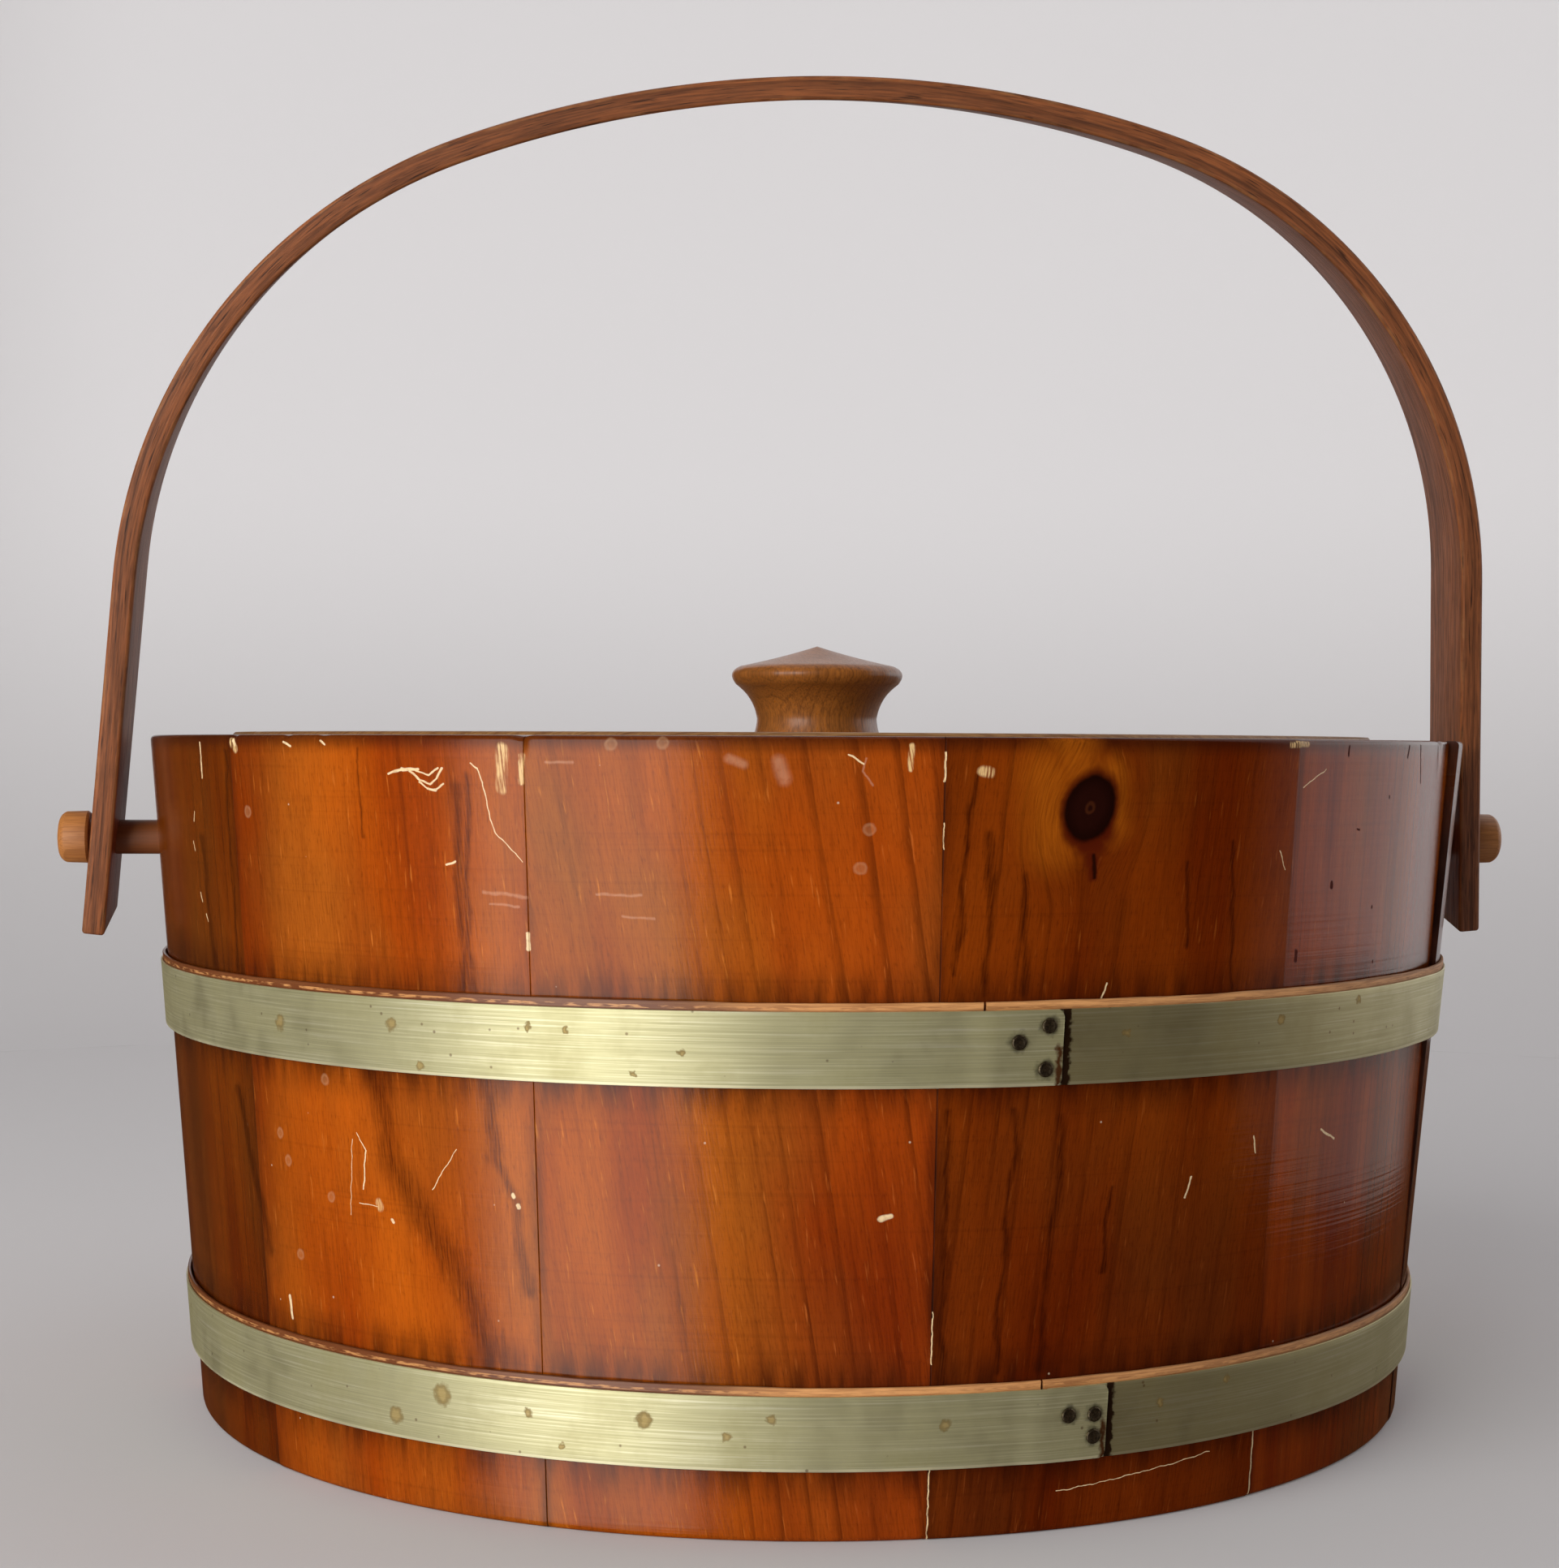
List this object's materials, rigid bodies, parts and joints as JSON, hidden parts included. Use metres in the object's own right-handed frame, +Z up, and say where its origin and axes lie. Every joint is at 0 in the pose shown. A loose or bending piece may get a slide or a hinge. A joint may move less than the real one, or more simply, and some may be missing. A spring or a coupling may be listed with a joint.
{
  "type": "wooden firkin",
  "caption": "Tapered wooden stave bucket bound by riveted metal hoops, with an inset lid, a turned knob and a bentwood handle that swings on pegs.",
  "frame": {"origin": "centre of the base, at the height of the surface the firkin stands on", "axes": "+Z up along the bucket's axis; +X along the pegs, to the right seen from the front; -Y to the front"},
  "size_m": [0.3478, 0.3046, 0.3026],
  "materials": {
    "stave_wood": "orange-brown varnished pine, glossy, vertical grain",
    "bottom_wood": "sawn pine, dry, unvarnished inside",
    "lid_wood": "varnished pine, satin, dusty",
    "backing_wood": "pale split wood, bare",
    "hoop_brass": "brass-plated band, fine brushed, tarnished in spots",
    "rivet_steel": "dark dull rivet heads",
    "handle_wood": "dark stained bent hardwood, open grain, worn edges",
    "peg_wood": "honey-coloured turned hardwood, satin",
    "knob_wood": "golden-brown turned hardwood, glossy",
    "screw_steel": "plain steel wood screws"
  },
  "bodies": {
    "bucket": {"stave_01": "stave_wood", "stave_02": "stave_wood", "stave_03": "stave_wood", "stave_04": "stave_wood", "stave_05": "stave_wood", "stave_06": "stave_wood", "stave_07": "stave_wood", "stave_08": "stave_wood", "stave_09": "stave_wood", "stave_10": "stave_wood", "stave_11": "stave_wood", "stave_12": "stave_wood", "bottom_board_left": "bottom_wood", "bottom_board_middle": "bottom_wood", "bottom_board_right": "bottom_wood", "upper_hoop": "hoop_brass", "lower_hoop": "hoop_brass", "upper_hoop_backing": "backing_wood", "lower_hoop_backing": "backing_wood", "upper_hoop_rivets": "rivet_steel", "lower_hoop_rivets": "rivet_steel", "peg_left": "peg_wood", "peg_right": "peg_wood"},
    "handle": {"handle": "handle_wood"},
    "lid": {"lid_board_front": "lid_wood", "lid_board_middle": "lid_wood", "lid_board_back": "lid_wood", "lid_batten_left": "lid_wood", "lid_batten_right": "lid_wood", "lid_batten_screws": "screw_steel", "knob": "knob_wood", "knob_screw": "screw_steel"}
  },
  "joints": [
    {"name": "handle_swing", "type": "hinge", "parent": "bucket", "child": "handle", "pos_m": [0, 0, 0.128], "axis": [1, 0, 0], "range_deg": [-132, 105]},
    {"name": "lid_lift", "type": "slide", "parent": "bucket", "child": "lid", "axis": [0, 0, 1], "range_m": [0, 0.08]}
  ]
}
